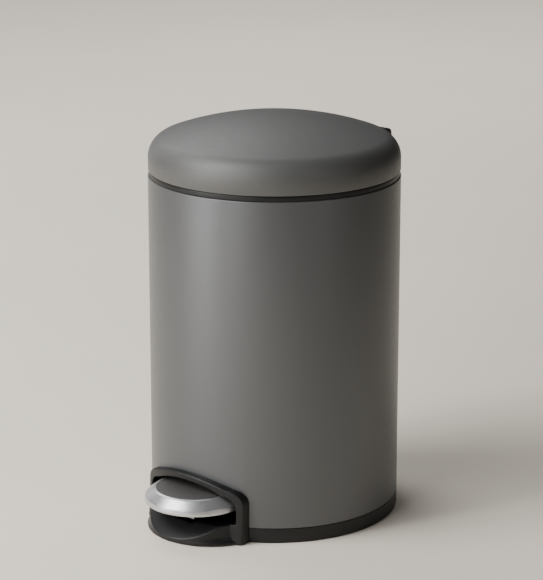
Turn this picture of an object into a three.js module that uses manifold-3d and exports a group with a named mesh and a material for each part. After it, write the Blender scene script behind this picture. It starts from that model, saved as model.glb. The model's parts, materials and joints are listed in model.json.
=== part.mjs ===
// A round pedal bin of the 12 litre class, as an assembly of its separate pieces.
// Millimetres, +Z up. The origin is the centre of the flat underside, on the bin's own axis.
// The pedal is at the front, towards -Y, and the lid's hinge is at the back, towards +Y.
import * as THREE from 'three';
import { mergeVertices } from 'three/addons/utils/BufferGeometryUtils.js';
import Module from 'manifold-3d';

const wasm = await Module();
wasm.setup();

// ---------------------------------------------------------------- driving dimensions
const GAP = 0.3;                  // air between pieces that touch
const ROUND = 48;                 // sides of a large round piece
const FINE = 96;                  // sides of the pedal and of the housing below it
const SMALL_ROUND = 16;           // sides of a pin, a screw or a rod

const bodyRadius = 125;
const bodyWall = 0.8;
const baseHeight = 15.2;          // visible height of the plastic base ring
const bodyTop = 342.3;
const rimHem = 2.1;               // the body's top edge is rolled inwards by this much

const collarRadius = 123.9;
const collarTop = 347.8;

const lidRadius = 124.8;
const lidEdge = 348.1;
const lidSkirtTop = 359.8;
const lidShoulder = 23;           // radius of the rounded shoulder
const lidApex = 400.6;
const lidWall = 0.8;
const lidOpening = 75;            // degrees

const hingeY = 131;
const hingeZ = 355;
const hingePinRadius = 2.5;

const leverPivotY = -25;
const leverPivotZ = 22;
const leverSwing = 6.5;           // degrees
const leverThickness = 4;
const leverTop = leverPivotZ + leverThickness / 2;
const rodRadius = 2;

const pedalCentreY = -116.6;      // centre of the pedal's round front
const pedalRadius = 51.2;
const pedalBottom = 32.6;
const pedalBack = -108;
const padCentreY = -120.8;
const padRadius = 36.3;
const padEdgeTop = 47.1;

const hoodHalfWidth = 62.6;
const hoodTop = 63;
const hoodSag = 0.0038;           // the hood's top falls away by this times the width squared
const hoodCorner = 15;
const openingHalfWidth = 56;
const openingTop = 57;
const openingSag = 0.0049;
const openingCorner = 12;
const hoodRadius = 134;           // the hood follows the body this far from the bin's axis
const flangeRadius = 64.5;
const drumCentreY = -103.5;
const drumRadius = 55;
const drumTop = 20;
const ledgeRadius = 140;          // the drum's top ends this far from the bin's axis
const housingBottom = 0.6;

const deckBottom = 42;
const deckTop = 44.5;
const bucketBottom = 48;
const bucketTopRadius = 104;
const bucketBottomRadius = 95;
const bucketWall = 2;
const bucketRimRadius = 115.5;
const shelfTop = 342.6;

const radians = THREE.MathUtils.degToRad;

// The lever, the rod and the crank on the lid's arm lift by the same height. The crank swings
// evenly to both sides of the horizontal, so that the rod stays upright.
const halfOpening = radians(lidOpening / 2);
const leverSine = Math.sin(radians(leverSwing));
const crank = (hingeY - leverPivotY) * leverSine
  / (2 * Math.sin(halfOpening) + Math.cos(halfOpening) * leverSine);
const rodY = hingeY - crank * Math.cos(halfOpening);
const crankZ = hingeZ - crank * Math.sin(halfOpening);
const crankFoot = 2.5;            // radius of the crank's rounded foot
const openPivotGap = 0.6;         // air at both ends of the rod

// ---------------------------------------------------------------- solids
function solid(geometry) {
  const bare = geometry.clone();
  bare.deleteAttribute('normal');
  bare.deleteAttribute('uv');
  const merged = mergeVertices(bare, 1e-4);
  const points = merged.attributes.position.array;
  const index = merged.index.array;
  const triangles = [];
  let volume = 0;
  const a = new THREE.Vector3();
  const b = new THREE.Vector3();
  const c = new THREE.Vector3();
  for (let i = 0; i < index.length; i += 3) {
    const [p, q, r] = [index[i], index[i + 1], index[i + 2]];
    if (p === q || q === r || p === r) continue;
    triangles.push(p, q, r);
    a.fromArray(points, 3 * p);
    b.fromArray(points, 3 * q);
    c.fromArray(points, 3 * r);
    volume += a.dot(b.cross(c));
  }
  if (volume < 0) triangles.reverse();
  return new wasm.Manifold(new wasm.Mesh({
    numProp: 3,
    vertProperties: new Float32Array(points),
    triVerts: new Uint32Array(triangles),
  }));
}

function joined(first, ...others) {
  return others.reduce((sum, piece) => sum.add(piece), first);
}

function cut(first, ...others) {
  return others.reduce((rest, piece) => rest.subtract(piece), first);
}

function intersected(first, second) {
  return first.intersect(second);
}

function block(x0, x1, y0, y1, z0, z1) {
  const geometry = new THREE.BoxGeometry(x1 - x0, y1 - y0, z1 - z0);
  geometry.translate((x0 + x1) / 2, (y0 + y1) / 2, (z0 + z1) / 2);
  return solid(geometry);
}

// A profile of [radius, height] corners, turned about an upright axis at (0, y). The rings that
// are wider than the core can be set back, so that all of them touch at the front.
function turned(profile, { sides = ROUND, y = 0, closed = true, core = Infinity } = {}) {
  const corners = profile.map(([radius, height]) => new THREE.Vector2(radius, height));
  if (closed) corners.push(corners[0].clone());
  const geometry = new THREE.LatheGeometry(corners, sides);
  geometry.rotateX(Math.PI / 2);
  const points = geometry.attributes.position;
  for (let i = 0; i < points.count; i += 1) {
    const radius = Math.hypot(points.getX(i), points.getY(i));
    points.setY(i, points.getY(i) + y + Math.max(0, radius - core));
  }
  return solid(geometry);
}

function disc(radius, z0, z1, options = {}) {
  const profile = [[0, z0], [radius, z0], [radius, z1], [0, z1]];
  return turned(profile, { ...options, closed: false });
}

function tube(outer, inner, z0, z1, options = {}) {
  return turned([[inner, z0], [outer, z0], [outer, z1], [inner, z1]], options);
}

function pinAlongX(radius, x0, x1, y, z, sides = SMALL_ROUND) {
  const geometry = new THREE.CylinderGeometry(radius, radius, x1 - x0, sides);
  geometry.rotateZ(Math.PI / 2);
  geometry.translate((x0 + x1) / 2, y, z);
  return solid(geometry);
}

function pinAlongY(radius, x, y0, y1, z, sides = SMALL_ROUND) {
  const geometry = new THREE.CylinderGeometry(radius, radius, y1 - y0, sides);
  geometry.translate(x, (y0 + y1) / 2, z);
  return solid(geometry);
}

function pinAlongZ(radius, x, y, z0, z1, sides = SMALL_ROUND) {
  const geometry = new THREE.CylinderGeometry(radius, radius, z1 - z0, sides);
  geometry.rotateX(Math.PI / 2);
  geometry.translate(x, y, (z0 + z1) / 2);
  return solid(geometry);
}

// Outlines drawn in (x, y), (x, z) or (y, z) and pulled out along the third axis.
function prism(shape, depth) {
  return new THREE.ExtrudeGeometry(shape, { depth, bevelEnabled: false, curveSegments: 10 });
}

function prismAlongZ(shape, z0, z1) {
  const geometry = prism(shape, z1 - z0);
  geometry.translate(0, 0, z0);
  return solid(geometry);
}

function prismAlongY(shape, y0, y1) {
  const geometry = prism(shape, y1 - y0);
  geometry.rotateX(Math.PI / 2);
  geometry.translate(0, y1, 0);
  return solid(geometry);
}

function prismAlongX(shape, x0, x1) {
  const geometry = prism(shape, x1 - x0);
  const turn = new THREE.Matrix4().makeBasis(
    new THREE.Vector3(0, 1, 0),
    new THREE.Vector3(0, 0, 1),
    new THREE.Vector3(1, 0, 0),
  );
  geometry.applyMatrix4(turn);
  geometry.translate(x0, 0, 0);
  return solid(geometry);
}

function outline(corners) {
  return new THREE.Shape(corners.map(([x, y]) => new THREE.Vector2(x, y)));
}

// ---------------------------------------------------------------- materials and nodes
function finish(color, roughness, metalness) {
  return new THREE.MeshStandardMaterial({ color, roughness, metalness });
}

const titaniumPaint = finish('#6b6a6b', 0.42, 0.35);
const blackPlastic = finish('#1d1c1e', 0.45, 0);
const satinSilver = finish('#b9babd', 0.28, 1);
const padGrey = finish('#56524f', 0.6, 0);
const zincSteel = finish('#9a9da1', 0.35, 1);
const bucketPlastic = finish('#2b2b2d', 0.55, 0);
const rubber = finish('#232323', 0.85, 0);

const group = new THREE.Group();

function node(name, body, material) {
  const mesh = body.getMesh();
  const geometry = new THREE.BufferGeometry();
  const points = new Float32Array(mesh.vertProperties);
  geometry.setAttribute('position', new THREE.BufferAttribute(points, 3));
  geometry.setIndex(new THREE.BufferAttribute(new Uint32Array(mesh.triVerts), 1));
  geometry.computeVertexNormals();
  const piece = new THREE.Mesh(geometry, material);
  piece.name = name;
  group.add(piece);
}

// ---------------------------------------------------------------- shared outlines
// The arch of the pedal opening, or of the hood round it, seen from the front.
function archShape(halfWidth, top, bottom, sag, corner) {
  const shoulder = top - sag * (halfWidth - corner) ** 2;
  const shape = new THREE.Shape();
  shape.moveTo(-halfWidth, bottom);
  shape.lineTo(halfWidth, bottom);
  shape.lineTo(halfWidth, shoulder - corner);
  shape.quadraticCurveTo(halfWidth, shoulder - 2.5, halfWidth - corner, shoulder);
  shape.quadraticCurveTo(0, 2 * top - shoulder, corner - halfWidth, shoulder);
  shape.quadraticCurveTo(-halfWidth, shoulder - 2.5, -halfWidth, shoulder - corner);
  shape.closePath();
  return shape;
}

const openingBottom = drumTop + 0.5;
const neckWall = 2;

// The dome meets the shoulder where both have the same slope.
function lidProfile(offset) {
  const centre = lidRadius - lidShoulder;
  const tilt = 2 * Math.atan((lidApex - lidSkirtTop - lidShoulder) / centre);
  const domeRadius = centre / Math.sin(tilt) + lidShoulder;
  const domeCentre = lidApex - domeRadius;
  const profile = [];
  const shoulderSteps = 5;
  for (let i = 0; i <= shoulderSteps; i += 1) {
    const angle = (Math.PI / 2 - tilt) * (i / shoulderSteps);
    const radius = lidShoulder - offset;
    profile.push([centre + radius * Math.cos(angle), lidSkirtTop + radius * Math.sin(angle)]);
  }
  const domeSteps = 4;
  for (let i = 1; i <= domeSteps; i += 1) {
    const angle = tilt * (1 - i / domeSteps);
    const radius = domeRadius - offset;
    profile.push([radius * Math.sin(angle), domeCentre + radius * Math.cos(angle)]);
  }
  return profile;
}

// ---------------------------------------------------------------- body and base
function bodyShell() {
  const inner = bodyRadius - bodyWall;
  const shell = turned([
    [inner, baseHeight + GAP],
    [bodyRadius, baseHeight + GAP],
    [bodyRadius, bodyTop],
    [bodyRadius - rimHem, bodyTop],
    [bodyRadius - rimHem, bodyTop - 1.6],
    [inner, bodyTop - 1.6],
  ]);
  const pedalHole = prismAlongY(openingShape(neckWall + GAP, 0), -140, -80);
  return cut(shell, pedalHole);
}

const hingeNotch = 16;            // half width of the gaps for the hinge in collar and lid

function topCollar() {
  const skirt = bodyRadius - rimHem - GAP;
  const collar = turned([
    [skirt - 2.2, 328],
    [skirt, 328],
    [skirt, shelfTop],
    [collarRadius, shelfTop],
    [collarRadius, collarTop],
    [118, collarTop],
    [118, shelfTop],
    [109, shelfTop],
    [109, shelfTop - 2.6],
    [skirt - 2.2, shelfTop - 2.6],
  ]);
  return cut(collar, block(-hingeNotch, hingeNotch, 115, 130, 320, 350));
}

function basePan() {
  const upstand = bodyRadius - bodyWall - GAP - 0.2;
  const pan = turned([
    [121.8, 0],
    [bodyRadius, 0],
    [bodyRadius, baseHeight],
    [upstand, baseHeight],
    [upstand, deckTop],
    [0, deckTop],
    [0, deckBottom],
    [121.2, deckBottom],
    [121.2, baseHeight],
    [121.8, baseHeight - 2],
  ]);
  const pedalPocket = block(-60, 60, -130, -105.5, baseHeight + 0.2, 50);
  const leverSlot = block(-18, 18, -130, -100, 5, 30);
  const rodNotch = block(-7, 7, 112, 125, 17, 50);
  return cut(pan, pedalPocket, leverSlot, rodNotch);
}

const coverTop = 3;
const footRing = { inner: 104, outer: 113, height: 2.4 };

function baseCover() {
  const groove = footRing.height + GAP;
  const cover = turned([
    [0, 0],
    [footRing.inner - GAP, 0],
    [footRing.inner - GAP, groove],
    [footRing.outer + GAP, groove],
    [footRing.outer + GAP, 0],
    [121.8 - GAP, 0],
    [121.8 - GAP, coverTop + 1.5],
    [0, coverTop + 1.5],
  ], { closed: false });
  return cover;
}

function antiSlipRing() {
  return tube(footRing.outer, footRing.inner, 0, footRing.height);
}

// ---------------------------------------------------------------- pedal housing
// A hood follows the body and stands round the opening. Its legs run down to the flange of a
// drum, which fills the space below the pedal. The drum's wall sweeps out into the flange.
function drum() {
  const wall = turned([
    [0, housingBottom],
    [flangeRadius, housingBottom],
    [flangeRadius, 3],
    [drumRadius + 5, 4.8],
    [drumRadius + 2, 8],
    [drumRadius + 0.5, 14],
    [drumRadius, drumTop],
    [0, drumTop],
  ], { y: drumCentreY, sides: FINE, core: drumRadius, closed: false });
  return cut(intersected(wall, slopedFront(0)), block(-70, 70, -96, 0, -1, 30));
}

// The drum's front slopes down from its top to the flange, at the same slope all round the bin.
function slopedFront(wallThickness) {
  const edge = ledgeRadius - wallThickness;
  const nose = drumRadius - drumCentreY + 1 - wallThickness;
  return turned([
    [0, -1],
    [nose, -1],
    [nose, 4],
    [edge, drumTop],
    [0, drumTop],
  ], { sides: 2 * FINE, closed: false });
}

function openingShape(margin, bottom) {
  return archShape(
    openingHalfWidth + margin, openingTop + margin, bottom, openingSag, openingCorner);
}

function hood() {
  const shape = archShape(hoodHalfWidth, hoodTop, housingBottom, hoodSag, hoodCorner);
  const arch = prismAlongY(shape, -160, -90);
  const face = turned([
    [bodyRadius + GAP, housingBottom],
    [hoodRadius + 2, housingBottom],
    [hoodRadius + 1, 10],
    [hoodRadius, 24],
    [hoodRadius - 0.5, hoodTop + 1],
    [bodyRadius + GAP, hoodTop + 1],
  ], { sides: FINE });
  const opening = prismAlongY(openingShape(0, openingBottom), -160, -80);
  return cut(intersected(arch, face), opening);
}

// The neck passes through the hole in the body.
function hoodNeck() {
  const outer = prismAlongY(openingShape(neckWall, baseHeight + 2 * GAP), -136, -90);
  const opening = prismAlongY(openingShape(0, openingBottom), -160, -80);
  const ring = tube(hoodRadius - 4, 121, 0, 60, { sides: FINE });
  return cut(intersected(outer, ring), opening);
}

function pedalHousing() {
  const hollow = cut(
    intersected(
      disc(drumRadius - 2.5, -1, drumTop - 2, { y: drumCentreY, sides: FINE }),
      slopedFront(3),
    ),
    disc(bodyRadius + 3, -2, 30, { sides: FINE }),
  );
  const insideBody = disc(bodyRadius + GAP, -1, hoodTop + 2, { sides: FINE });
  const outside = cut(joined(hood(), drum()), hollow, insideBody);
  const leverSlot = block(-17.5, 17.5, -141, -90, 4.5, 30);
  const coreSlot = block(-54, 54, -140, -90, drumTop - 1, 30);
  return cut(joined(outside, cut(hoodNeck(), coreSlot)), leverSlot);
}

// ---------------------------------------------------------------- lever and pedal
const leverHalfWidth = 14;
const leverBack = rodY + 3;
const coreBottom = 36;
const coreTop = 44.4;

function pedalLever() {
  const plan = outline([
    [-leverHalfWidth, -136],
    [leverHalfWidth, -136],
    [leverHalfWidth, leverPivotY - 10],
    [5, 20],
    [5, leverBack],
    [-5, leverBack],
    [-5, 20],
    [-leverHalfWidth, leverPivotY - 10],
  ]);
  const plate = prismAlongZ(plan, leverTop - leverThickness, leverTop);
  const hub = pinAlongX(6.5, -19, 19, leverPivotY, leverPivotZ);
  const bore = pinAlongX(3 + GAP, -20, 20, leverPivotY, leverPivotZ);
  return cut(joined(plate, hub), bore);
}

function leverBracket() {
  const foot = block(-27, 27, leverPivotY - 12, leverPivotY + 12, coverTop + 1.8, coverTop + 4);
  const ears = [-22.5, 20].map((x) => joined(
    block(x, x + 2.5, leverPivotY - 8, leverPivotY + 8, coverTop + 2, leverPivotZ),
    pinAlongX(8, x, x + 2.5, leverPivotY, leverPivotZ),
  ));
  const bore = pinAlongX(3 + GAP, -30, 30, leverPivotY, leverPivotZ);
  return cut(joined(foot, ...ears), bore);
}

function leverPin() {
  const shaft = pinAlongX(3, -24, 25, leverPivotY, leverPivotZ);
  const head = pinAlongX(4.6, 23, 25.5, leverPivotY, leverPivotZ);
  return joined(shaft, head);
}

function behind(y) {
  return block(-70, 70, y, 0, 0, 80);
}

function pedalCore() {
  const edge = pedalRadius - 6.2;
  const plate = turned([
    [0, coreBottom],
    [edge, coreBottom],
    [edge, coreBottom + 1.6],
    [padRadius - 1, coreTop],
    [0, coreTop],
  ], { y: pedalCentreY, closed: false });
  const post = block(-12, 12, -135, pedalBack, leverTop + GAP, coreBottom + 1);
  return cut(joined(plate, post), behind(pedalBack));
}

// The rim falls from the pad's edge to a ridge, and turns down to its lower edge.
function pedalTrim() {
  const crown = turned([
    [pedalRadius - 1.8, pedalBottom],
    [pedalRadius, pedalBottom],
    [pedalRadius + 0.2, pedalBottom + 2.4],
    [pedalRadius - 0.8, pedalBottom + 4.6],
    [pedalRadius - 3, pedalBottom + 6],
    [padRadius + 2.4, pedalBottom + 13.7],
    [padRadius - 6, pedalBottom + 14.8],
    [padRadius - 6, pedalBottom + 12.6],
    [padRadius + 1.6, pedalBottom + 12.3],
    [pedalRadius - 4.4, pedalBottom + 5],
    [pedalRadius - 2, pedalBottom + 2.8],
  ], { y: pedalCentreY, sides: FINE });
  const padHole = disc(padRadius + GAP + 0.1, 30, 60, { y: padCentreY, sides: FINE });
  return cut(crown, padHole, behind(pedalBack));
}

function pedalPad() {
  const bottom = coreTop + GAP;
  const pad = turned([
    [0, bottom],
    [padRadius, bottom],
    [padRadius, padEdgeTop],
    [padRadius - 6, padEdgeTop + 0.6],
    [0, padEdgeTop + 1.1],
  ], { y: padCentreY, sides: FINE, closed: false });
  return cut(pad, behind(pedalBack));
}

function pedalScrew(x) {
  const leverBottom = leverTop - leverThickness;
  return pinAlongZ(3.6, x, -124, leverBottom - 2.4, leverBottom - GAP);
}

// ---------------------------------------------------------------- lift rod
const rodFootTop = leverTop + openPivotGap + 3;
const rodTop = crankZ - crankFoot - openPivotGap;

function liftRod() {
  return turned([
    [0, rodFootTop + GAP],
    [rodRadius, rodFootTop + GAP],
    [rodRadius, rodTop - 2],
    [rodRadius / 2, rodTop],
    [0, rodTop],
  ], { y: rodY, sides: SMALL_ROUND, closed: false });
}

function rodFoot() {
  return pinAlongZ(3.2, 0, rodY, leverTop + openPivotGap, rodFootTop);
}

// A clip on the inside of the body wall, which keeps the rod upright.
function rodGuide(z) {
  const clip = intersected(
    block(-9, 9, rodY - 4.5, bodyRadius, z - 6, z + 6),
    disc(bodyRadius - bodyWall - GAP, z - 6, z + 6),
  );
  return cut(clip, pinAlongZ(rodRadius + GAP + 0.1, 0, rodY, z - 7, z + 7));
}

function guideRivet(z) {
  const wall = Math.sqrt(bodyRadius ** 2 - 6 ** 2);
  return pinAlongY(2.4, 6, wall + GAP, wall + 1.4, z);
}

// ---------------------------------------------------------------- lid
function lidShell() {
  const outer = [[lidRadius, lidEdge], ...lidProfile(0)];
  const inner = [[lidRadius - lidWall, lidEdge], ...lidProfile(lidWall)].reverse();
  const shell = turned([...outer, ...inner]);
  const notch = block(-hingeNotch, hingeNotch, 112, 130, lidEdge - 1, lidSkirtTop - 0.4);
  return cut(shell, notch);
}

const webBottom = 358;
const webTop = webBottom + 1.6;

function lidLiner() {
  const outer = lidRadius - lidWall - GAP - 0.2;
  const liner = turned([
    [outer - 1.8, lidEdge + 1.4],
    [outer, lidEdge + 1.4],
    [outer, webTop],
    [107, webTop],
    [107, webBottom],
    [outer - 1.8, webBottom],
  ]);
  const notch = block(-hingeNotch, hingeNotch, 119, 130, lidEdge, webBottom);
  return cut(liner, notch);
}

function lidBumper(angle) {
  const radius = lidRadius - lidWall - GAP - 1.1;
  const x = radius * Math.sin(radians(angle));
  const y = -radius * Math.cos(radians(angle));
  return pinAlongZ(0.9, x, y, collarTop + GAP, lidEdge + 1.4 - GAP, 16);
}

// The arm is screwed under the liner. It runs out through the notch to the hinge pin, and its
// crank reaches down to the rod.
const armHalfWidth = 14;
const armThickness = 4.6;

function lidArm() {
  const top = webBottom - GAP;
  const bar = outline([
    [108, top],
    [108, top - armThickness],
    [rodY - 4, top - armThickness],
    [rodY - crankFoot, crankZ],
    [rodY + 1, crankZ],
    [rodY + 3, hingeZ - 4.2],
    [hingeY - 2, hingeZ - 4.5],
    [hingeY, hingeZ],
    [hingeY - 6, top],
  ]);
  const arm = joined(
    prismAlongX(bar, -armHalfWidth, armHalfWidth),
    pinAlongX(crankFoot, -armHalfWidth, armHalfWidth, rodY, crankZ),
    pinAlongX(5.4, -armHalfWidth, armHalfWidth, hingeY, hingeZ),
  );
  const bore = pinAlongX(hingePinRadius + GAP, -20, 20, hingeY, hingeZ);
  return cut(arm, bore);
}

function armScrew(x) {
  return pinAlongZ(2.6, x, 112.5, webTop + GAP, webTop + 2.2);
}

// A cap over the hinge, fixed to the back of the lid.
const capHalfWidth = 36;
const capTop = 371;
const capBack = 140.5;
const capWall = 1.8;

function hingeCap() {
  const lowerEdge = hingeZ - 0.5;
  const side = new THREE.Shape();
  side.moveTo(100, lidEdge + 1);
  side.lineTo(capBack - 6, lidEdge + 1);
  side.lineTo(capBack, lowerEdge + 1);
  side.lineTo(capBack, capTop - 7);
  side.quadraticCurveTo(capBack, capTop, capBack - 8, capTop);
  side.lineTo(100, capTop);
  side.closePath();
  const cavity = new THREE.Shape();
  cavity.moveTo(100, lidEdge - 4);
  cavity.lineTo(capBack - capWall, lidEdge - 4);
  cavity.lineTo(capBack - capWall, capTop - 7);
  cavity.quadraticCurveTo(capBack - capWall, capTop - capWall, capBack - 9, capTop - capWall);
  cavity.lineTo(100, capTop - capWall);
  cavity.closePath();
  const shell = cut(
    prismAlongX(side, -capHalfWidth, capHalfWidth),
    prismAlongX(cavity, capWall - capHalfWidth, capHalfWidth - capWall),
    block(-capHalfWidth + capWall, capHalfWidth - capWall, capBack - 10, capBack + 1, 340, lowerEdge),
  );
  const lidSpace = turned([
    [0, lidEdge - 5],
    [lidRadius + GAP, lidEdge - 5],
    ...lidProfile(-GAP),
  ], { closed: false });
  return cut(shell, lidSpace);
}

function capScrew(x) {
  return pinAlongY(2.2, x, capBack + GAP, capBack + 1.1, hingeZ + 5);
}

// ---------------------------------------------------------------- hinge on the body
const earInner = armHalfWidth + 1;
const earWidth = 4;
const plateHalfWidth = 26;
const plateBottom = 298;

function hingeBracket() {
  const plate = intersected(
    tube(bodyRadius + 3, bodyRadius + GAP, plateBottom, bodyTop - 1),
    block(-plateHalfWidth, plateHalfWidth, 100, 135, plateBottom, bodyTop),
  );
  const stem = outline([
    [123.4, 318],
    [127.5, 318],
    [hingeY - 2.5, hingeZ - 12],
    [hingeY + 1.5, hingeZ - 5],
    [hingeY, hingeZ],
    [hingeY - 4.8, hingeZ - 2.6],
    [126.4, hingeZ - 9],
    [125.2, 342],
  ]);
  const ears = [-earInner - earWidth, earInner].map((x) => joined(
    prismAlongX(stem, x, x + earWidth),
    pinAlongX(5.4, x, x + earWidth, hingeY, hingeZ),
  ));
  const bore = pinAlongX(hingePinRadius + GAP, -40, 40, hingeY, hingeZ);
  return cut(joined(plate, ...ears), bore, disc(bodyRadius + GAP, 290, 360));
}

function hingePin() {
  const reach = earInner + earWidth + 3;
  return joined(
    pinAlongX(hingePinRadius, -reach, reach, hingeY, hingeZ),
    pinAlongX(hingePinRadius + 1.4, reach - 2, reach, hingeY, hingeZ),
  );
}

function bracketScrew(x, z) {
  const face = Math.sqrt((bodyRadius + 3) ** 2 - x ** 2);
  return pinAlongY(3.2, x, face + GAP, face + 2, z);
}

// ---------------------------------------------------------------- inner bucket
const handleWire = 1.75;
const handleRadius = 100.2;
const handleZ = shelfTop + 7.4;

function innerBucket() {
  const bucket = turned([
    [0, bucketBottom],
    [bucketBottomRadius, bucketBottom],
    [bucketTopRadius, shelfTop - 4],
    [bucketTopRadius, shelfTop + GAP],
    [bucketRimRadius, shelfTop + GAP],
    [bucketRimRadius, shelfTop + 2.4],
    [bucketTopRadius - bucketWall, shelfTop + 2.4],
    [bucketTopRadius - bucketWall, shelfTop - 4],
    [bucketBottomRadius - bucketWall, bucketBottom + 2.4],
    [0, bucketBottom + 2.4],
  ], { closed: false });
  const ears = [-106, 103].map((x) => block(x, x + 3, -5, 5, shelfTop + 2, handleZ + 3));
  const bore = [-120, 101].map((x) => pinAlongX(handleWire + GAP, x, x + 19, 0, handleZ));
  return cut(joined(bucket, ...ears), ...bore);
}

function halfRing(wire, sides) {
  const ring = new THREE.TorusGeometry(handleRadius, wire, sides, 40);
  ring.translate(0, 0, handleZ);
  return cut(solid(ring), block(-120, 120, 0, 120, handleZ - 10, handleZ + 10));
}

function bucketHandle() {
  const ends = [-107.5, 98.5].map((x) => pinAlongX(handleWire, x, x + 9, 0, handleZ, 12));
  return joined(halfRing(handleWire, 8), ...ends);
}

function handleGrip() {
  const reach = 34;
  const sleeve = intersected(
    halfRing(3.6, 10),
    block(-reach, reach, -120, 0, handleZ - 10, handleZ + 10),
  );
  return cut(sleeve, halfRing(handleWire + GAP, 8));
}

// ---------------------------------------------------------------- screws under the base
const coverScrewCircle = 92;
const coverScrewAngles = [45, 135, 225, 315];

function onCircle(radius, angle) {
  return [radius * Math.sin(radians(angle)), -radius * Math.cos(radians(angle))];
}

function screwRecesses() {
  return coverScrewAngles.map((angle) => {
    const [x, y] = onCircle(coverScrewCircle, angle);
    return pinAlongZ(3.8, x, y, -1, 2.6);
  });
}

function coverScrew(angle) {
  const [x, y] = onCircle(coverScrewCircle, angle);
  return pinAlongZ(3.3, x, y, 0.4, 2.3);
}

// ---------------------------------------------------------------- assembly
node('body_shell', bodyShell(), titaniumPaint);
node('top_collar', topCollar(), blackPlastic);
node('base_pan', basePan(), blackPlastic);
node('base_cover', cut(baseCover(), ...screwRecesses()), blackPlastic);
node('anti_slip_ring', antiSlipRing(), rubber);
coverScrewAngles.forEach((angle, i) => node(`cover_screw_${i + 1}`, coverScrew(angle), zincSteel));
node('pedal_housing', pedalHousing(), blackPlastic);

node('lever_bracket', leverBracket(), zincSteel);
[-10, 10].forEach((x, i) => {
  const screw = pinAlongZ(3, x, leverPivotY - 6, coverTop + 4 + GAP, coverTop + 6);
  node(`bracket_screw_${i + 1}`, screw, zincSteel);
});
node('lever_pin', leverPin(), zincSteel);
node('pedal_lever', pedalLever(), zincSteel);
node('pedal_core', pedalCore(), blackPlastic);
node('pedal_trim', pedalTrim(), satinSilver);
node('pedal_pad', pedalPad(), padGrey);
[-7, 7].forEach((x, i) => node(`pedal_screw_${i + 1}`, pedalScrew(x), zincSteel));

node('lift_rod', liftRod(), zincSteel);
node('rod_foot', rodFoot(), blackPlastic);
[110, 270].forEach((z, i) => {
  node(`rod_guide_${i + 1}`, rodGuide(z), blackPlastic);
  node(`guide_rivet_${i + 1}`, guideRivet(z), zincSteel);
});

node('lid_shell', lidShell(), titaniumPaint);
node('lid_liner', lidLiner(), blackPlastic);
[0, 110, 250].forEach((angle, i) => node(`lid_bumper_${i + 1}`, lidBumper(angle), rubber));
node('lid_arm', lidArm(), blackPlastic);
[-8, 8].forEach((x, i) => node(`arm_screw_${i + 1}`, armScrew(x), zincSteel));
node('hinge_cap', hingeCap(), blackPlastic);
[-27, 27].forEach((x, i) => node(`cap_screw_${i + 1}`, capScrew(x), zincSteel));

node('hinge_bracket', hingeBracket(), blackPlastic);
node('hinge_pin', hingePin(), zincSteel);
[306, 328].forEach((z, i) => node(`hinge_screw_${i + 1}`, bracketScrew(0, z), zincSteel));

node('inner_bucket', innerBucket(), bucketPlastic);
node('bucket_handle', bucketHandle(), zincSteel);
node('handle_grip', handleGrip(), blackPlastic);

export default group;
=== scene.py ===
"""Looks of the pedal bin: fine meshes, materials, a studio and the camera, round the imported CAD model."""
import json
import math

import bmesh
import bpy
from mathutils import Matrix, Vector


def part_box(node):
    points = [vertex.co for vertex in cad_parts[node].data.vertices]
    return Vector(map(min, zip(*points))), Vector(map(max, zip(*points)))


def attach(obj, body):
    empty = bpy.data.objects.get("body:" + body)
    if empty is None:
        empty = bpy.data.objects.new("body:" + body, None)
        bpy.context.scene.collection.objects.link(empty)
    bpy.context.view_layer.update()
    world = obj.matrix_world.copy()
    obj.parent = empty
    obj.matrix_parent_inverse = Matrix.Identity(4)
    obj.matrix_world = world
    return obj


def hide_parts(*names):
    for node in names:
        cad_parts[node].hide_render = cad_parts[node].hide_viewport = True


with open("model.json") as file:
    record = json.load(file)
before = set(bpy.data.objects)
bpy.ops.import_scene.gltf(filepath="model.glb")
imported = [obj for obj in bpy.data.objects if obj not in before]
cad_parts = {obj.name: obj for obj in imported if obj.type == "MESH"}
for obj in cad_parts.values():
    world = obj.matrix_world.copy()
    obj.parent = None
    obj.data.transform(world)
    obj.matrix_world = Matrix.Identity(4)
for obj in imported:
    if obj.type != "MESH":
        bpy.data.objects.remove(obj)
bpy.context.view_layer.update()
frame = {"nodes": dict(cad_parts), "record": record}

MM = 0.001
TURN = 2 * math.pi
FINE = 192                 # sides of a large round piece
FINEST = 256               # sides of one that shows in full
COARSE = 128               # sides of one that is hidden inside
GAP = 0.3 * MM             # air between touching pieces, as in the CAD model
TINY = 1e-7                # a radius below this, in metres, is a point on the axis


# ---------------------------------------------------------------- places, from the CAD model
def low(node):
    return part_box(node)[0]


def high(node):
    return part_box(node)[1]


body_radius = high("body_shell")[0]
body_bottom = low("body_shell")[2]
body_top = high("body_shell")[2]
base_radius = high("base_pan")[0]
deck_top = high("base_pan")[2]
collar_radius = high("top_collar")[0]
collar_bottom = low("top_collar")[2]
collar_top = high("top_collar")[2]
lid_radius = high("lid_shell")[0]
lid_edge = low("lid_shell")[2]
lid_apex = high("lid_shell")[2]
pedal_radius = high("pedal_trim")[0]
pedal_centre = low("pedal_trim")[1] + pedal_radius
pedal_back = high("pedal_trim")[1]
pedal_bottom = low("pedal_trim")[2]
pad_radius = high("pedal_pad")[0]
pad_centre = low("pedal_pad")[1] + pad_radius


# ---------------------------------------------------------------- mesh building
def new_object(name, bm):
    bmesh.ops.recalc_face_normals(bm, faces=bm.faces[:])
    mesh = bpy.data.meshes.new(name)
    bm.to_mesh(mesh)
    bm.free()
    piece = bpy.data.objects.new(name, mesh)
    bpy.context.scene.collection.objects.link(piece)
    return piece


def smooth(piece, degrees=35):
    mesh = piece.data
    mesh.polygons.foreach_set("use_smooth", [True] * len(mesh.polygons))
    mesh.set_sharp_from_angle(angle=math.radians(degrees))
    mesh.update()


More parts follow.
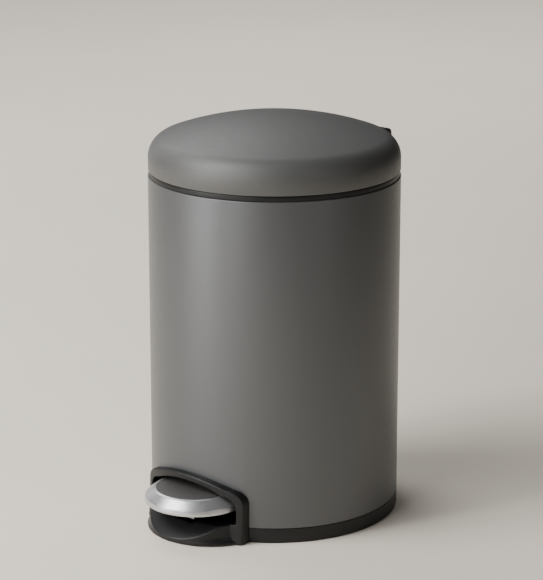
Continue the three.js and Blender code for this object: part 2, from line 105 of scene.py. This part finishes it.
def filleted(corners, steps=5):
    """A closed outline of (x, y, radius) corners, with each corner turned into an arc."""
    points = []
    count = len(corners)
    for i, (x, y, radius) in enumerate(corners):
        here = Vector((x, y))
        if radius <= 0:
            points.append(here)
            continue
        back = Vector(corners[i - 1][:2]) - here
        ahead = Vector(corners[(i + 1) % count][:2]) - here
        half = back.angle(ahead) / 2
        reach = min(radius / math.tan(half), 0.48 * back.length, 0.48 * ahead.length)
        radius = reach * math.tan(half)
        centre = here + (back.normalized() + ahead.normalized()).normalized() * (radius / math.sin(half))
        start = here + back.normalized() * reach - centre
        end = here + ahead.normalized() * reach - centre
        sweep = start.angle_signed(end)
        for step in range(steps + 1):
            turned = Vector(start)
            turned.rotate(Matrix.Rotation(-sweep * step / steps, 2))
            points.append(centre + turned)
    return [(p.x, p.y) for p in points]


def on_axis(radius):
    return 0.0


def lathe(name, profile, sides=FINE, centre=on_axis):
    """Turns a closed (radius, height) outline about an upright axis. The axis may move with the radius."""
    bm = bmesh.new()
    rings = []
    angles = [TURN * i / sides for i in range(sides)]
    for radius, height in profile:
        y = centre(radius)
        if radius < TINY:
            rings.append([bm.verts.new((0, y, height))] * sides)
            continue
        rings.append([
            bm.verts.new((radius * math.sin(a), y - radius * math.cos(a), height)) for a in angles
        ])
    for ring, following in zip(rings, rings[1:] + rings[:1]):
        for i in range(sides):
            j = (i + 1) % sides
            corners = [ring[i], ring[j], following[j], following[i]]
            unique = [v for k, v in enumerate(corners) if v not in corners[:k]]
            if len(unique) > 2:
                bm.faces.new(unique)
    return new_object(name, bm)


def prism(name, points, axis, start, end):
    """Pulls a flat outline out along X, Y or Z. It is given in the other two coordinates."""
    bm = bmesh.new()

    def in_space(point, along):
        coordinates = list(point)
        coordinates.insert("XYZ".index(axis), along)
        return coordinates

    first = [bm.verts.new(in_space(p, start)) for p in points]
    last = [bm.verts.new(in_space(p, end)) for p in points]
    bm.faces.new(first)
    bm.faces.new(last)
    for i in range(len(points)):
        j = (i + 1) % len(points)
        bm.faces.new([first[i], first[j], last[j], last[i]])
    return new_object(name, bm)


def block(name, half_width, front, back, bottom, top):
    """A box with the same reach to the left as to the right."""
    outline = [(-half_width, front), (half_width, front), (half_width, back), (-half_width, back)]
    return prism(name, outline, "Z", bottom, top)


def bake(piece):
    """Turns the piece's modifiers into its mesh."""
    graph = bpy.context.evaluated_depsgraph_get()
    graph.update()
    result = bpy.data.meshes.new_from_object(piece.evaluated_get(graph))
    piece.modifiers.clear()
    old = piece.data
    piece.data = result
    bpy.data.meshes.remove(old)


def combine(piece, operation, *tools):
    for tool in tools:
        step = piece.modifiers.new("combine", "BOOLEAN")
        step.operation = operation
        step.solver = "EXACT"
        step.object = tool
        bake(piece)
        bpy.data.objects.remove(tool)
    return piece


def cut(piece, *tools):
    return combine(piece, "DIFFERENCE", *tools)


def join(piece, *tools):
    return combine(piece, "UNION", *tools)


def soften(piece, voxel, passes):
    """Rounds every edge of a piece a little, as a moulding has them."""
    remesh = piece.modifiers.new("remesh", "REMESH")
    remesh.mode = "VOXEL"
    remesh.voxel_size = voxel
    relax = piece.modifiers.new("relax", "SMOOTH")
    relax.factor = 0.5
    relax.iterations = passes
    bake(piece)
    return piece


# ---------------------------------------------------------------- materials
COAT_ROUGHNESS = 0.3
NOISE_LOW = 0.3            # nearly all of the noise lies between these two
NOISE_HIGH = 0.7


def material(name, color, roughness, metallic=0.0, specular=0.5, coat=0.0):
    made = bpy.data.materials.new(name)
    made.use_nodes = True
    shader = made.node_tree.nodes["Principled BSDF"]
    shader.inputs["Base Color"].default_value = (*color, 1)
    shader.inputs["Roughness"].default_value = roughness
    shader.inputs["Metallic"].default_value = metallic
    shader.inputs["Specular IOR Level"].default_value = specular
    shader.inputs["Coat Weight"].default_value = coat
    shader.inputs["Coat Roughness"].default_value = COAT_ROUGHNESS
    return made, shader


EVEN = (1, 1, 1)


def noise(tree, scale, detail, stretch=EVEN):
    """Noise in the object's own metres: a scale of 1000 has spots of about a millimetre."""
    coordinates = tree.nodes.new("ShaderNodeTexCoord")
    mapping = tree.nodes.new("ShaderNodeMapping")
    mapping.inputs["Scale"].default_value = stretch
    texture = tree.nodes.new("ShaderNodeTexNoise")
    texture.inputs["Scale"].default_value = scale
    texture.inputs["Detail"].default_value = detail
    tree.links.new(coordinates.outputs["Object"], mapping.inputs["Vector"])
    tree.links.new(mapping.outputs["Vector"], texture.inputs["Vector"])
    return texture.outputs["Fac"]


def ramp(tree, value, *stops):
    node = tree.nodes.new("ShaderNodeValToRGB")
    elements = node.color_ramp.elements
    while len(elements) < len(stops):
        elements.new(0.5)
    for element, (position, color) in zip(elements, stops):
        element.position = position
        element.color = (*color, 1)
    tree.links.new(value, node.inputs["Fac"])
    return node.outputs["Color"]


def scaled(color, factor):
    return tuple(channel * factor for channel in color)


def vary_color(made, shader, color, amount, scale, detail, stretch=EVEN):
    tree = made.node_tree
    source = noise(tree, scale, detail, stretch)
    darker = (NOISE_LOW, scaled(color, 1 - amount))
    lighter = (NOISE_HIGH, scaled(color, 1 + amount))
    result = ramp(tree, source, darker, lighter)
    tree.links.new(result, shader.inputs["Base Color"])


def vary_roughness(made, shader, lowest, highest, scale, detail):
    tree = made.node_tree
    spread = tree.nodes.new("ShaderNodeMapRange")
    spread.inputs["From Min"].default_value = NOISE_LOW
    spread.inputs["From Max"].default_value = NOISE_HIGH
    spread.inputs["To Min"].default_value = lowest
    spread.inputs["To Max"].default_value = highest
    tree.links.new(noise(tree, scale, detail), spread.inputs["Value"])
    tree.links.new(spread.outputs["Result"], shader.inputs["Roughness"])


def add_bumps(made, shader, *layers):
    """Each layer is (scale, depth in metres, detail), laid one over the other."""
    tree = made.node_tree
    below = None
    for scale, depth, detail in layers:
        bump = tree.nodes.new("ShaderNodeBump")
        bump.inputs["Strength"].default_value = 1.0
        bump.inputs["Distance"].default_value = depth
        tree.links.new(noise(tree, scale, detail), bump.inputs["Height"])
        if below is not None:
            tree.links.new(below, bump.inputs["Normal"])
        below = bump.outputs["Normal"]
    tree.links.new(below, shader.inputs["Normal"])


def body_paint():
    """Satin metallic lacquer on rolled steel, with a faint orange peel."""
    color = (0.104, 0.106, 0.110)
    made, shader = material("titanium_paint", color, 0.4, metallic=0.45, specular=0.45, coat=0.1)
    vary_color(made, shader, color, 0.05, 2600, 2.0)
    vary_roughness(made, shader, 0.37, 0.43, 220, 4.0)
    add_bumps(made, shader, (420, 0.02 * MM, 2.0), (2200, 0.006 * MM, 1.0))
    return made


def lid_paint():
    """The same paint on the pressed lid, a shade more matt."""
    color = (0.103, 0.103, 0.101)
    made, shader = material("titanium_paint_lid", color, 0.5, metallic=0.35, specular=0.45)
    vary_color(made, shader, color, 0.05, 2600, 2.0)
    vary_roughness(made, shader, 0.47, 0.54, 220, 4.0)
    add_bumps(made, shader, (420, 0.02 * MM, 2.0), (2200, 0.008 * MM, 1.0))
    return made


def moulded_black():
    """Satin plastic with the fine grain of its mould."""
    color = (0.007, 0.007, 0.0075)
    made, shader = material("black_plastic", color, 0.36, specular=0.35)
    vary_color(made, shader, color, 0.15, 300, 4.0)
    vary_roughness(made, shader, 0.36, 0.46, 400, 4.0)
    add_bumps(made, shader, (1500, 0.03 * MM, 3.0))
    return made


def satin_silver():
    """Satin plating on a moulding: an even, cloudy metal without a clear reflection."""
    color = (0.56, 0.56, 0.57)
    made, shader = material("satin_silver", color, 0.34, metallic=0.8)
    vary_color(made, shader, color, 0.03, 180, 3.0)
    vary_roughness(made, shader, 0.3, 0.38, 260, 3.0)
    add_bumps(made, shader, (1600, 0.004 * MM, 2.0))
    return made


def pad_material():
    """Soft-touch insert with a fine, even grain."""
    color = (0.060, 0.056, 0.054)
    made, shader = material("pad_grey", color, 0.55, specular=0.4)
    vary_color(made, shader, color, 0.12, 900, 5.0)
    vary_roughness(made, shader, 0.5, 0.62, 600, 3.0)
    add_bumps(made, shader, (2400, 0.05 * MM, 2.0))
    return made


def zinc():
    """Zinc plating, with the cloudy spots of its bath."""
    color = (0.5, 0.51, 0.53)
    made, shader = material("zinc_steel", color, 0.33, metallic=1.0)
    vary_color(made, shader, color, 0.1, 160, 6.0)
    vary_roughness(made, shader, 0.26, 0.42, 350, 5.0)
    add_bumps(made, shader, (1200, 0.01 * MM, 3.0))
    return made


def bucket_material():
    """Plain moulded plastic, with faint upright streaks."""
    color = (0.030, 0.030, 0.032)
    made, shader = material("bucket_plastic", color, 0.5, specular=0.45)
    vary_color(made, shader, color, 0.12, 60, 5.0, (1, 1, 0.2))
    vary_roughness(made, shader, 0.42, 0.56, 200, 4.0)
    add_bumps(made, shader, (800, 0.04 * MM, 3.0))
    return made


def rubber_material():
    color = (0.016, 0.016, 0.016)
    made, shader = material("rubber", color, 0.8, specular=0.3)
    vary_color(made, shader, color, 0.2, 700, 4.0)
    add_bumps(made, shader, (1800, 0.05 * MM, 3.0))
    return made


PAINT = body_paint()
LID_PAINT = lid_paint()
BLACK = moulded_black()
SILVER = satin_silver()
PAD = pad_material()
ZINC = zinc()
BUCKET = bucket_material()
RUBBER = rubber_material()


def place(piece, body, slot, finish, *nodes, degrees=35):
    """Gives a finished piece its material, its body and the CAD nodes that it stands for."""
    piece.data.materials.clear()
    piece.data.materials.append(finish)
    smooth(piece, degrees)
    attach(piece, body)
    if nodes:
        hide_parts(*nodes)
    return piece


# ---------------------------------------------------------------- arch of the pedal opening
HOLE_HALF_WIDTH = 58.3 * MM
HOLE_TOP = 59.3 * MM
HOLE_CORNER = 12 * MM
HOLE_SAG = 4.9             # the arch falls away by this times the width squared, in metres


def pedal_arch(steps=16):
    """The rounded arch of the hole for the pedal, as (x, z) points."""
    side = HOLE_HALF_WIDTH
    inner = side - HOLE_CORNER
    shoulder = HOLE_TOP - HOLE_SAG * inner ** 2
    knee = shoulder - 2.5 * MM
    corner_start = shoulder - HOLE_CORNER
    points = [(-side, 0), (side, 0), (side, corner_start)]

    def curve(start, control, end):
        for i in range(1, steps + 1):
            t = i / steps
            points.append(tuple(
                (1 - t) ** 2 * start[k] + 2 * t * (1 - t) * control[k] + t * t * end[k] for k in (0, 1)
            ))

    curve((side, corner_start), (side, knee), (inner, shoulder))
    curve((inner, shoulder), (0, 2 * HOLE_TOP - shoulder), (-inner, shoulder))
    curve((-inner, shoulder), (-side, knee), (-side, corner_start))
    return points


# ---------------------------------------------------------------- body, collar and base
def body_skin():
    """The rolled tube, with its top edge folded in and the hole for the pedal cut out."""
    wall = 0.8 * MM
    inner = body_radius - wall
    hem_inner = body_radius - 2.1 * MM
    hem_bottom = body_top - 1.6 * MM
    profile = filleted([
        (inner, body_bottom, 0.2 * MM),
        (body_radius, body_bottom, 0.3 * MM),
        (body_radius, body_top, 0.9 * MM),
        (hem_inner, body_top, 0.7 * MM),
        (hem_inner, hem_bottom, 0.5 * MM),
        (inner, hem_bottom, 0.2 * MM),
    ])
    skin = lathe("body_skin", profile, FINEST)
    outside = -body_radius - 15 * MM
    inside = -90 * MM
    cut(skin, prism("pedal_hole", pedal_arch(), "Y", outside, inside))
    return place(skin, "root", "titanium_paint", PAINT, "body_shell")


HINGE_HALF_WIDTH = 16 * MM
BEHIND = body_radius + 5 * MM              # farther back than any shell


def hinge_notch(front, bottom, top):
    """The gap in a ring or a shell that the lid's arm passes through."""
    return block("notch", HINGE_HALF_WIDTH, front, BEHIND, bottom, top)


def collar():
    """A ring on the body's edge, with a skirt inside the body and a shelf for the bucket."""
    skirt = body_radius - 2.4 * MM
    skirt_inner = skirt - 2.2 * MM
    shelf = body_top + GAP
    shelf_bottom = shelf - 2.6 * MM
    shelf_inner = body_radius - 16 * MM
    inner = body_radius - 7 * MM
    profile = filleted([
        (skirt_inner, collar_bottom, 0.4 * MM),
        (skirt, collar_bottom, 0.4 * MM),
        (skirt, shelf, 0),
        (collar_radius, shelf, 0.4 * MM),
        (collar_radius, collar_top, 1.2 * MM),
        (inner, collar_top, 0.8 * MM),
        (inner, shelf, 0.5 * MM),
        (shelf_inner, shelf, 0.5 * MM),
        (shelf_inner, shelf_bottom, 0.5 * MM),
        (skirt_inner, shelf_bottom, 0.5 * MM),
    ])
    ring = lathe("collar", profile)
    cut(ring, hinge_notch(body_radius - 10 * MM, collar_bottom - 5 * MM, collar_top + 5 * MM))
    return place(ring, "root", "black_plastic", BLACK, "top_collar")


def base():
    """The foot ring, its upstand inside the body and its deck, with room for pedal, lever and rod."""
    foot_inner = base_radius - 3.2 * MM
    wall_inner = base_radius - 3.8 * MM
    upstand = body_radius - 1.3 * MM
    base_height = body_bottom - GAP
    deck_bottom = deck_top - 2.5 * MM
    profile = filleted([
        (foot_inner, 0, 0.6 * MM),
        (base_radius, 0, 1.6 * MM),
        (base_radius, base_height, 0.8 * MM),
        (upstand, base_height, 0.2 * MM),
        (upstand, deck_top, 1 * MM),
        (0, deck_top, 0),
        (0, deck_bottom, 0),
        (wall_inner, deck_bottom, 0.5 * MM),
        (wall_inner, base_height, 0),
        (foot_inner, base_height - 2 * MM, 0),
    ])
    pan = lathe("base_ring", profile, FINEST)
    front = -base_radius - 5 * MM
    above = deck_top + 5 * MM
    pocket = block("pocket", 60 * MM, front, -105.5 * MM, base_height + 0.2 * MM, above)
    lever_slot = block("lever_slot", 18 * MM, front, -100 * MM, 5 * MM, 30 * MM)
    rod_notch = block("rod_notch", 7 * MM, base_radius - 13 * MM, base_radius, 17 * MM, above)
    cut(pan, pocket, lever_slot, rod_notch)
    return place(pan, "root", "black_plastic", BLACK, "base_pan")


# ---------------------------------------------------------------- pedal
def pedal_axis(radius):
    """The axis moves from the insert's centre to the pedal's, from the inner rings to the outer ones."""
    share = (radius - pad_radius) / (pedal_radius - pad_radius)
    return pad_centre + (pedal_centre - pad_centre) * max(0, share)


def half_turned(name, profile, finish, slot, node):
    """A round piece of the pedal, cut off straight at the back."""
    piece = lathe(name, profile, FINEST, pedal_axis)
    reach = pedal_radius + 5 * MM
    above = 100 * MM
    cut(piece, block("back", reach, pedal_back, 0, 0, above))
    return place(piece, "lever", slot, finish, node)


def pedal():
    """The crescent rises from its outer edge to the insert, and the insert is slightly domed."""
    outer = pedal_radius
    groove = pad_radius + 0.45 * MM
    base_z = pedal_bottom
    arc_steps = 8
    trim = filleted([
        (outer - 2.0 * MM, base_z, 0.5 * MM),
        (outer - 0.2 * MM, base_z, 0.9 * MM),
        (outer - 0.1 * MM, base_z + 2.2 * MM, 2 * MM),
        (outer - 0.9 * MM, base_z + 5.6 * MM, 1.8 * MM),
        (outer - 2.4 * MM, base_z + 7.0 * MM, 1.6 * MM),
        (groove + 8.6 * MM, base_z + 9.8 * MM, 5 * MM),
        (groove + 3.2 * MM, base_z + 13.6 * MM, 7 * MM),
        (groove, base_z + 14.2 * MM, 0.5 * MM),
        (groove, base_z + 12.2 * MM, 0.2 * MM),
        (outer - 5.4 * MM, base_z + 5.6 * MM, 3 * MM),
        (outer - 2.2 * MM, base_z + 3 * MM, 1 * MM),
    ], arc_steps)
    half_turned("pedal_crescent", trim, SILVER, "satin_silver", "pedal_trim")
    pad_bottom = low("pedal_pad")[2]
    pad_top = high("pedal_pad")[2]
    pad = filleted([
        (0, pad_bottom, 0),
        (pad_radius, pad_bottom, 0),
        (pad_radius, pad_top - 1.1 * MM, 0.8 * MM),
        (pad_radius - 9 * MM, pad_top - 0.3 * MM, 8 * MM),
        (0, pad_top, 0),
    ], arc_steps)
    half_turned("pedal_insert", pad, PAD, "pad_grey", "pedal_pad")


# ---------------------------------------------------------------- lid
def lid_outline(offset, shoulder_steps=20, dome_steps=28):
    """The rounded shoulder and the dome, from the skirt's top to the apex, set in by the offset."""
    skirt_height = 11.7 * MM
    skirt_top = lid_edge + skirt_height
    shoulder = 23 * MM
    centre = lid_radius - shoulder
    tilt = 2 * math.atan((lid_apex - skirt_top - shoulder) / centre)
    dome_radius = centre / math.sin(tilt) + shoulder
    dome_centre = lid_apex - dome_radius
    points = []
    for i in range(shoulder_steps + 1):
        angle = (math.pi / 2 - tilt) * i / shoulder_steps
        radius = shoulder - offset
        points.append((centre + radius * math.cos(angle), skirt_top + radius * math.sin(angle)))
    for i in range(1, dome_steps + 1):
        angle = tilt * (1 - i / dome_steps)
        radius = dome_radius - offset
        points.append((radius * math.sin(angle), dome_centre + radius * math.cos(angle)))
    return points


def lid():
    """The domed steel shell, and the plastic ring inside it."""
    wall = 0.8 * MM
    lip = [
        (lid_radius - wall, lid_edge + 0.3 * MM),
        (lid_radius - 0.7 * wall, lid_edge),
        (lid_radius - 0.3 * wall, lid_edge),
        (lid_radius, lid_edge + 0.4 * MM),
    ]
    profile = lip + lid_outline(0) + lid_outline(wall)[::-1]
    dome = lathe("lid_dome", profile, FINEST)
    cut(dome, hinge_notch(body_radius - 13 * MM, lid_edge - MM, lid_edge + 11.3 * MM))
    place(dome, "lid", "titanium_paint", LID_PAINT, "lid_shell", degrees=40)

    outer = high("lid_liner")[0]
    outer_wall = outer - 1.8 * MM
    inner = body_radius - 18 * MM
    bottom = low("lid_liner")[2]
    top = high("lid_liner")[2]
    web = top - 1.6 * MM
    ring = lathe("liner", filleted([
        (outer_wall, bottom, 0.6 * MM),
        (outer, bottom, 0.6 * MM),
        (outer, top, 0.4 * MM),
        (inner, top, 0.7 * MM),
        (inner, web, 0.7 * MM),
        (outer_wall, web, 0.6 * MM),
    ]))
    cut(ring, hinge_notch(body_radius - 6 * MM, lid_edge, web))
    place(ring, "lid", "black_plastic", BLACK, "lid_liner")


# ---------------------------------------------------------------- bucket
NECK_RADIUS = body_radius - 21 * MM        # the bucket's outside below its rim


def bucket():
    """A tapered pail with a rim that rests on the collar's shelf, and an ear for the handle on each side."""
    bottom_radius = NECK_RADIUS - 9 * MM
    wall = 2 * MM
    bottom = low("inner_bucket")[2]
    inner_bottom = bottom + 2.4 * MM
    shelf = body_top + GAP
    neck = shelf - 4 * MM
    rim_radius = high("inner_bucket")[0]
    rim_bottom = shelf + GAP
    rim_top = shelf + 2.4 * MM
    pail = lathe("bucket", filleted([
        (0, bottom, 0),
        (bottom_radius, bottom, 5 * MM),
        (NECK_RADIUS, neck, 0),
        (NECK_RADIUS, rim_bottom, 0.4 * MM),
        (rim_radius, rim_bottom, 0.6 * MM),
        (rim_radius, rim_top, 1.2 * MM),
        (NECK_RADIUS - wall, rim_top, 1.5 * MM),
        (NECK_RADIUS - wall, neck, 0),
        (bottom_radius - wall, inner_bottom, 4 * MM),
        (0, inner_bottom, 0),
    ]), COARSE)
    handle_z = (low("bucket_handle")[2] + high("bucket_handle")[2]) / 2
    for side in (-1, 1):
        add_ear(pail, side, shelf + 1.6 * MM, handle_z)
    place(pail, "bucket", "bucket_plastic", BUCKET, "inner_bucket")
    wire_handle(handle_z)


def add_ear(pail, side, bottom, handle_z):
    """A lug on the bucket's neck, with the hole for one end of the handle."""
    half_width = 5 * MM
    inner = NECK_RADIUS - MM
    outer = NECK_RADIUS + 2 * MM
    ear = prism("ear", filleted([
        (-half_width, bottom, 0),
        (half_width, bottom, 0),
        (half_width, handle_z + 3 * MM, 2.5 * MM),
        (-half_width, handle_z + 3 * MM, 2.5 * MM),
    ]), "X", side * inner, side * outer)
    join(pail, ear)
    hole_radius = 2.05 * MM
    sides = 24
    angles = [TURN * i / sides for i in range(sides)]
    hole = [(hole_radius * math.cos(a), handle_z + hole_radius * math.sin(a)) for a in angles]
    cut(pail, prism("hole", hole, "X", side * (inner - 0.4 * MM), side * (outer + 0.6 * MM)))


def bent_rod(name, points, radius, body, slot, finish, *nodes):
    """A round rod along a line of points, as a mesh."""
    curve = bpy.data.curves.new(name, "CURVE")
    curve.dimensions = "3D"
    curve.bevel_depth = radius
    curve.bevel_resolution = 6
    curve.use_fill_caps = True
    spline = curve.splines.new("POLY")
    spline.points.add(len(points) - 1)
    for target, point in zip(spline.points, points):
        target.co = (*point, 1)
    drawn = bpy.data.objects.new(name + "_curve", curve)
    bpy.context.scene.collection.objects.link(drawn)
    graph = bpy.context.evaluated_depsgraph_get()
    mesh = bpy.data.meshes.new_from_object(drawn.evaluated_get(graph))
    bpy.data.objects.remove(drawn)
    piece = bpy.data.objects.new(name, mesh)
    bpy.context.scene.collection.objects.link(piece)
    return place(piece, body, slot, finish, *nodes)


def wire_handle(handle_z):
    """Half a ring of wire with its two ends turned out into the ears, and a grip at its front."""
    radius = NECK_RADIUS - 3.8 * MM
    wire_radius = 1.75 * MM
    grip_radius = 3.6 * MM
    knee = radius + 2 * MM
    reach = high("bucket_handle")[0]

    def ring_point(angle):
        return (-radius * math.cos(angle), -radius * math.sin(angle), handle_z)

    steps = 96
    points = [(-reach, 0, handle_z), (-knee, 0, handle_z)]
    points += [ring_point(math.pi * i / steps) for i in range(1, steps)]
    points += [(knee, 0, handle_z), (reach, 0, handle_z)]
    bent_rod("bail", points, wire_radius, "handle", "zinc_steel", ZINC, "bucket_handle")
    half = math.asin(high("handle_grip")[0] / radius)
    grip_steps = 24
    grip = [ring_point(math.pi / 2 - half + 2 * half * i / grip_steps) for i in range(grip_steps + 1)]
    bent_rod("bail_grip", grip, grip_radius, "handle", "black_plastic", BLACK, "handle_grip")


# ---------------------------------------------------------------- hinge and inner pieces
def softened_copy(node, name, body, slot, finish, voxel, passes):
    """A CAD piece with its edges rounded, in its own place."""
    piece = frame["nodes"][node].copy()
    piece.data = piece.data.copy()
    piece.parent = None
    piece.matrix_world = Matrix.Identity(4)
    piece.name = name
    piece.hide_render = False
    bpy.context.scene.collection.objects.link(piece)
    soften(piece, voxel, passes)
    return place(piece, body, slot, finish, node, degrees=60)


def mechanism():
    """The mouldings whose CAD shape is right. The last two values say how far their edges are rounded."""
    softened_copy("pedal_housing", "pedal_hood", "root", "black_plastic", BLACK, 0.6 * MM, 7)
    softened_copy("hinge_cap", "hinge_cover", "lid", "black_plastic", BLACK, 0.5 * MM, 5)
    softened_copy("lid_arm", "hinge_arm", "lid", "black_plastic", BLACK, 0.45 * MM, 4)
    softened_copy("hinge_bracket", "hinge_base", "root", "black_plastic", BLACK, 0.5 * MM, 4)
    softened_copy("pedal_core", "pedal_body", "lever", "black_plastic", BLACK, 0.6 * MM, 4)


SMALL_FASTENERS = [name for name in frame["nodes"] if "screw" in name or "rivet" in name]


def finish_cad_nodes():
    """Every CAD piece gets its material, and the screws and rivets get a fine bevel."""
    slots = {row["node"]: row["material_slot"] for row in frame["record"]["subparts"]}
    finishes = {
        "titanium_paint": PAINT, "black_plastic": BLACK, "satin_silver": SILVER, "pad_grey": PAD,
        "zinc_steel": ZINC, "bucket_plastic": BUCKET, "rubber": RUBBER,
    }
    for name, piece in frame["nodes"].items():
        piece.data.materials.clear()
        piece.data.materials.append(finishes[slots[name]])
        if name in SMALL_FASTENERS:
            bevel = piece.modifiers.new("edge", "BEVEL")
            bevel.width = 0.35 * MM
            bevel.segments = 2
            bevel.limit_method = "ANGLE"


# ---------------------------------------------------------------- studio and camera
BIN = Vector((0, 0, 0.2))
CAMERA_AZIMUTH = 41.2
CAMERA_ELEVATION = 15.864
CAMERA_DISTANCE = 2.3724
CAMERA_LENS = 147.05
AIM_HEIGHT = 0.2218
SIDE_STEP = 2.93 * MM
FLOOR_REACH = 9
FLOOR_DEPTH = 0.02


def floor_material():
    color = (0.92, 0.85, 0.73)
    made, shader = material("floor_pale", color, 0.7, specular=0.2)
    vary_color(made, shader, color, 0.015, 3, 2.0)
    return made


def studio():
    """A pale floor that fills the picture, and a little even light from all round."""
    floor = block("floor", FLOOR_REACH, -FLOOR_REACH, FLOOR_REACH, -FLOOR_DEPTH, 0)
    floor.data.materials.append(floor_material())
    world = bpy.data.worlds.new("studio")
    world.use_nodes = True
    background = world.node_tree.nodes["Background"]
    background.inputs["Color"].default_value = (1.0, 1.0, 1.0, 1)
    background.inputs["Strength"].default_value = 0.03
    bpy.context.scene.world = world


def direction(azimuth, elevation):
    """Azimuth 0 is in front of the pedal and 90 is at +X."""
    a, e = math.radians(azimuth), math.radians(elevation)
    return Vector((math.sin(a) * math.cos(e), -math.cos(a) * math.cos(e), math.sin(e)))


def area_light(name, azimuth, elevation, distance, width, height, power, aim=BIN):
    """A soft box that faces the bin or another point. Angles are in degrees, and power is in watts."""
    lamp = bpy.data.lights.new(name, "AREA")
    lamp.shape = "RECTANGLE"
    lamp.size = width
    lamp.size_y = height
    lamp.energy = power
    light = bpy.data.objects.new(name, lamp)
    outward = direction(azimuth, elevation)
    light.location = aim + outward * distance
    light.rotation_euler = outward.to_track_quat("Z", "Y").to_euler()
    bpy.context.scene.collection.objects.link(light)


def lights():
    """Tall soft boxes at the left make the bright band, and the right side stays in shade."""
    area_light("strip", CAMERA_AZIMUTH - 73, 14, 2.0, 0.25, 1.6, 10)
    area_light("wide_strip", CAMERA_AZIMUTH - 60, 14, 2.0, 0.3, 1.6, 17)
    area_light("front_left", CAMERA_AZIMUTH - 35, 20, 2.2, 0.8, 1.6, 16)
    area_light("back_left", CAMERA_AZIMUTH - 140, 20, 2.2, 1.0, 1.6, 5)
    area_light("front_right", CAMERA_AZIMUTH + 45, 20, 2.4, 1.0, 1.6, 4)
    area_light("top_back", CAMERA_AZIMUTH + 180, 55, 2.4, 2.0, 1.0, 4)
    area_light("top_left", CAMERA_AZIMUTH - 70, 50, 2.2, 1.2, 1.2, 44)
    area_light("lid_left", CAMERA_AZIMUTH - 150, 48, 2.2, 1.2, 1.0, 14)
    far_floor = direction(CAMERA_AZIMUTH + 180, 0) * 3.6
    area_light("backdrop", CAMERA_AZIMUTH, 62, 2.2, 4.0, 1.5, 60, far_floor)


def camera():
    aim = Vector((0, 0, AIM_HEIGHT))
    outward = direction(CAMERA_AZIMUTH, CAMERA_ELEVATION)
    sideways = direction(CAMERA_AZIMUTH + 90, 0)
    lens = bpy.data.cameras.new("camera")
    lens.sensor_width = 36
    lens.lens = CAMERA_LENS
    eye = bpy.data.objects.new("camera", lens)
    eye.location = aim + outward * CAMERA_DISTANCE - sideways * SIDE_STEP
    eye.rotation_euler = outward.to_track_quat("Z", "Y").to_euler()
    bpy.context.scene.collection.objects.link(eye)
    bpy.context.scene.camera = eye


camera()
studio()
lights()
finish_cad_nodes()
body_skin()
collar()
base()
pedal()
lid()
bucket()
mechanism()
